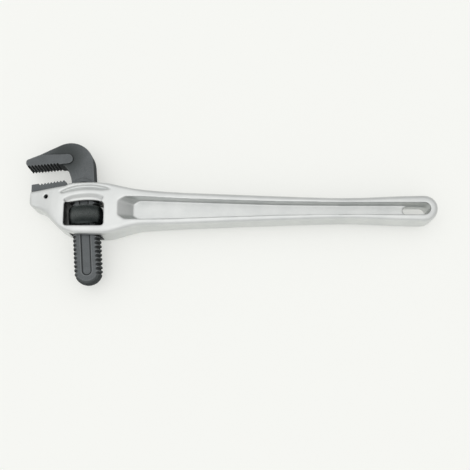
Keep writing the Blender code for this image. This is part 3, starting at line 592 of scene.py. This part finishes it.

# %% [markdown]
# ### Forged steel
# The jaws are slate grey: the scale of the forge and the phosphate bath leave a dark skin that
# shines very little, with a fine lighter speckle. The flanks are painted darker as shade, and are
# rougher. The hollow of the crown gets painted shade as well. The raised pads beside the teeth
# were ground, and that painted shade is kept off them.
#
# A painted shadow runs in a line along the edge of the shank's recess and round the end of its
# flat, and a painted highlight runs along the rim beside the recess. Both lines are found by a
# point's distance from the shank's centre line, which is the nut's axis.

# %% Measure the jaws for their finish
PLANE_Z = (cad_low.z + cad_high.z) / 2
PAD_STARTS, PAD_FULL = 9.6 * MM, 10.6 * MM
CROWN_HEART = (hook_low.x + 43 * MM, hook_high.y - 17 * MM, cad_high.z - 9 * MM)
CROWN_EDGE, CROWN_CORE = 30 * MM, 8 * MM
SHANK_END, SHANK_TOP = -62.0 * MM, 26.5 * MM
RECESS_SHADE, RECESS_HIGHLIGHT, FLAT_END_SHADE = 4.7 * MM, 6.0 * MM, 12.1 * MM
print("crown at", [round(c, 4) for c in CROWN_HEART])


def from_centre_line(tree, place, low, high):
    """How far along the shank a point is, and its distance from the shank's centre line."""
    flat = add_node(tree, "ShaderNodeVectorMath", {0: place, 1: (1, 1, 0)}, operation="MULTIPLY")
    foot = (NUT_CENTRE.x, NUT_CENTRE.y, 0)
    reach = add_node(tree, "ShaderNodeVectorMath", {0: flat.outputs[0], 1: foot}, operation="SUBTRACT")
    reach = reach.outputs[0]
    along = add_node(tree, "ShaderNodeVectorMath", {0: reach, 1: NUT_AXIS}, operation="DOT_PRODUCT")
    along = along.outputs["Value"]
    held = maths(tree, "MINIMUM", maths(tree, "MAXIMUM", along, low), high)
    nearest = add_node(tree, "ShaderNodeVectorMath", {0: NUT_AXIS, "Scale": held}, operation="SCALE")
    gap = add_node(tree, "ShaderNodeVectorMath", {0: reach, 1: nearest.outputs[0]}, operation="DISTANCE")
    return along, gap.outputs["Value"]


def line_at(tree, distance, middle, edge, core):
    """1 where the distance is within core of the line's middle, falling to 0 at edge."""
    off_line = maths(tree, "ABSOLUTE", maths(tree, "SUBTRACT", distance, middle))
    return remap(tree, off_line, edge, core)


# %% Forged steel: skin
forged, tree, shader = start_finish("phosphated_forging")
grain = effect(tree, grain_group, **{"Grain per metre": 1500.0, "Patches per metre": 110.0})
wear = effect(tree, wear_group, **{"Edge start": 0.51, "Edge full": 0.58, "Patches per metre": 400.0})
crevice_shade = effect(tree, shade_group, Reach=3.0 * MM, Open=0.93, Closed=0.55)
slate = mixed(tree, grain["Patches"], (0.090, 0.099, 0.102, 1), (0.120, 0.131, 0.136, 1))
slate = mixed(tree, maths(tree, "MULTIPLY", grain["Grain"], 0.35), slate, (0.21, 0.22, 0.225, 1))
place = add_node(tree, "ShaderNodeTexCoord").outputs["Object"]
# Painted shade in the hollow of the crown, kept off the ground pads.
crown = add_node(tree, "ShaderNodeVectorMath", {0: place, 1: CROWN_HEART}, operation="DISTANCE")
crown_shade = remap(tree, crown.outputs["Value"], CROWN_EDGE, CROWN_CORE)
height = add_node(tree, "ShaderNodeSeparateXYZ", {0: place}).outputs["Z"]
off_middle = maths(tree, "ABSOLUTE", maths(tree, "SUBTRACT", height, PLANE_Z))
ground = remap(tree, off_middle, PAD_STARTS, PAD_FULL)
crown_shade = maths(tree, "MULTIPLY", crown_shade, maths(tree, "SUBTRACT", 1.0, ground))
# Painted shade: faces that turn away from the top are painted darker.
normal = add_node(tree, "ShaderNodeNewGeometry").outputs["Normal"]
upward = add_node(tree, "ShaderNodeSeparateXYZ", {0: normal}).outputs["Z"]
shaded_flank = remap(tree, maths(tree, "ABSOLUTE", upward), 0.92, 0.3)
slate = mixed(tree, maths(tree, "MULTIPLY", crown_shade, 0.75), slate, (0.030, 0.036, 0.034, 1))
slate = mixed(tree, maths(tree, "MULTIPLY", shaded_flank, 0.8), slate, (0.022, 0.026, 0.026, 1))
# Painted shade deep in the grooves of the teeth and the thread.
slate = mixed(tree, maths(tree, "MULTIPLY", crevice_shade["Crevice shade"], 0.95), slate, (0.004, 0.005, 0.005, 1))

# %% Forged steel: painted shade and highlight lines, and worn edges
along, distance = from_centre_line(tree, place, SHANK_END, SHANK_TOP)
on_flat = remap(tree, off_middle, 8.0 * MM, 8.6 * MM)
above = remap(tree, along, SHANK_TOP - 1 * MM, SHANK_TOP + 1 * MM)
below = maths(tree, "SUBTRACT", 1.0, above)
# Painted shadow along the edge of the recess and round the end of the flat.
recess_shade = maths(tree, "MULTIPLY", line_at(tree, distance, RECESS_SHADE, 1.1 * MM, 0.4 * MM), below)
end_shade = maths(tree, "MULTIPLY", line_at(tree, distance, FLAT_END_SHADE, 0.9 * MM, 0.3 * MM), above)
shade_lines = maths(tree, "MULTIPLY", maths(tree, "MAXIMUM", recess_shade, end_shade), on_flat)
# Painted highlight along the rim beside the recess.
highlight_line = maths(tree, "MULTIPLY", line_at(tree, distance, RECESS_HIGHLIGHT, 0.8 * MM, 0.2 * MM), below)
highlight_line = maths(tree, "MULTIPLY", highlight_line, on_flat)
slate = mixed(tree, maths(tree, "MULTIPLY", highlight_line, 0.45), slate, (0.24, 0.25, 0.255, 1))
slate = mixed(tree, maths(tree, "MULTIPLY", shade_lines, 0.75), slate, (0.006, 0.008, 0.008, 1))
slate = mixed(tree, maths(tree, "MULTIPLY", wear["Edge"], 0.7), slate, (0.30, 0.31, 0.315, 1))
tree.links.new(slate, shader.inputs["Base Color"])
rough = remap(tree, grain["Patches"], 0, 1, 0.46, 0.60)
rough = maths(tree, "MAXIMUM", rough, maths(tree, "MULTIPLY", shaded_flank, 0.9))
tree.links.new(rough, shader.inputs["Roughness"])
shader.inputs["Metallic"].default_value = 0.25
shader.inputs["Specular IOR Level"].default_value = 0.3
raise_bump(tree, shader, grain["Grain"], 0.08 * MM, 0.5)
for piece in (hook, heel):
    piece.data.materials.append(forged)

# %% [markdown]
# ### Blackened steel
# The nut and the roll pin are blackened and oiled. Their grooves are painted darker as shade.
# The black is rubbed thin on the points of the knurl, and a painted highlight lies in a band round
# the nut's middle.

# %% Blackened steel
HIGHLIGHT_BAND_HALF = 8 * MM
black, tree, shader = start_finish("blackened_steel")
grain = effect(tree, grain_group, **{"Grain per metre": 2500.0, "Patches per metre": 160.0})
place = add_node(tree, "ShaderNodeTexCoord").outputs["Object"]
from_nut = add_node(tree, "ShaderNodeVectorMath", {0: place, 1: NUT_CENTRE}, operation="SUBTRACT")
wear = effect(tree, wear_group, **{"Edge start": 0.53, "Edge full": 0.68, "Patches per metre": 300.0})
crevice_shade = effect(tree, shade_group, Reach=1.2 * MM, Open=0.9, Closed=0.6)
soot = mixed(tree, grain["Patches"], (0.030, 0.038, 0.037, 1), (0.046, 0.055, 0.053, 1))
dot_values = {0: from_nut.outputs[0], 1: NUT_AXIS}
along = add_node(tree, "ShaderNodeVectorMath", dot_values, operation="DOT_PRODUCT").outputs["Value"]
# Painted highlight in a band round the nut's middle.
painted_highlight_band = remap(tree, maths(tree, "ABSOLUTE", along), HIGHLIGHT_BAND_HALF, 0)
soot = mixed(tree, maths(tree, "MULTIPLY", painted_highlight_band, 0.6), soot, (0.21, 0.225, 0.22, 1))
soot = mixed(tree, maths(tree, "MULTIPLY", wear["Edge"], 0.5), soot, (0.16, 0.17, 0.17, 1))
# Painted shade deep in the grooves of the knurl.
soot = mixed(tree, maths(tree, "MULTIPLY", crevice_shade["Crevice shade"], 0.8), soot, (0.010, 0.013, 0.013, 1))
tree.links.new(soot, shader.inputs["Base Color"])
tree.links.new(remap(tree, grain["Patches"], 0, 1, 0.20, 0.30), shader.inputs["Roughness"])
shader.inputs["Metallic"].default_value = 0.8
raise_bump(tree, shader, grain["Grain"], 0.03 * MM, 0.4)
for piece in (nut, pin):
    piece.data.materials.append(black)

# %% [markdown]
# ### Spring steel
# The flat spring, the coil spring and the rivet sit inside the housing. They are bare spring
# steel, tempered to a straw and blue tint that comes and goes along the metal. Their model shapes
# are right as they are, so only their finish is made here.

# %% Spring steel
spring, tree, shader = start_finish("tempered_spring_steel")
grain = effect(tree, grain_group, **{"Grain per metre": 3500.0, "Patches per metre": 240.0})
temper = mixed(tree, grain["Patches"], (0.27, 0.28, 0.32, 1), (0.40, 0.36, 0.28, 1))
tree.links.new(temper, shader.inputs["Base Color"])
tree.links.new(remap(tree, grain["Grain"], 0, 1, 0.28, 0.40), shader.inputs["Roughness"])
shader.inputs["Metallic"].default_value = 1.0
raise_bump(tree, shader, grain["Grain"], 0.02 * MM, 0.3)
for name in ("flat_spring", "coil_spring", "spring_rivet"):
    frame["nodes"][name].material_slots[0].material = spring

# %% [markdown]
# ### The floor's paper
# Matt paper, very slightly uneven, with a little light of its own from the table below it.

# %% Paper
paper, tree, shader = start_finish("pale_paper")
place = add_node(tree, "ShaderNodeTexCoord").outputs["Object"]
fibre = mixed(tree, speckle(tree, place, 0.15, 3.0), (0.545, 0.55, 0.53, 1), (0.555, 0.56, 0.54, 1))
tree.links.new(fibre, shader.inputs["Base Color"])
shader.inputs["Emission Color"].default_value = (1.0, 1.005, 0.975, 1)
shader.inputs["Emission Strength"].default_value = 0.41
shader.inputs["Roughness"].default_value = 0.9
shader.inputs["Specular IOR Level"].default_value = 0.2
floor.data.materials.append(paper)

# %% [markdown]
# ## The wrench's size
# The dressed wrench is meant to be as big as the model, so the change between the two boxes is printed.

# %% Print the size change
seen_low, seen_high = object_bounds()
change = (*(seen_low - cad_low), *(seen_high - cad_high))
print("size change in mm:", [round(v / MM, 2) for v in change])
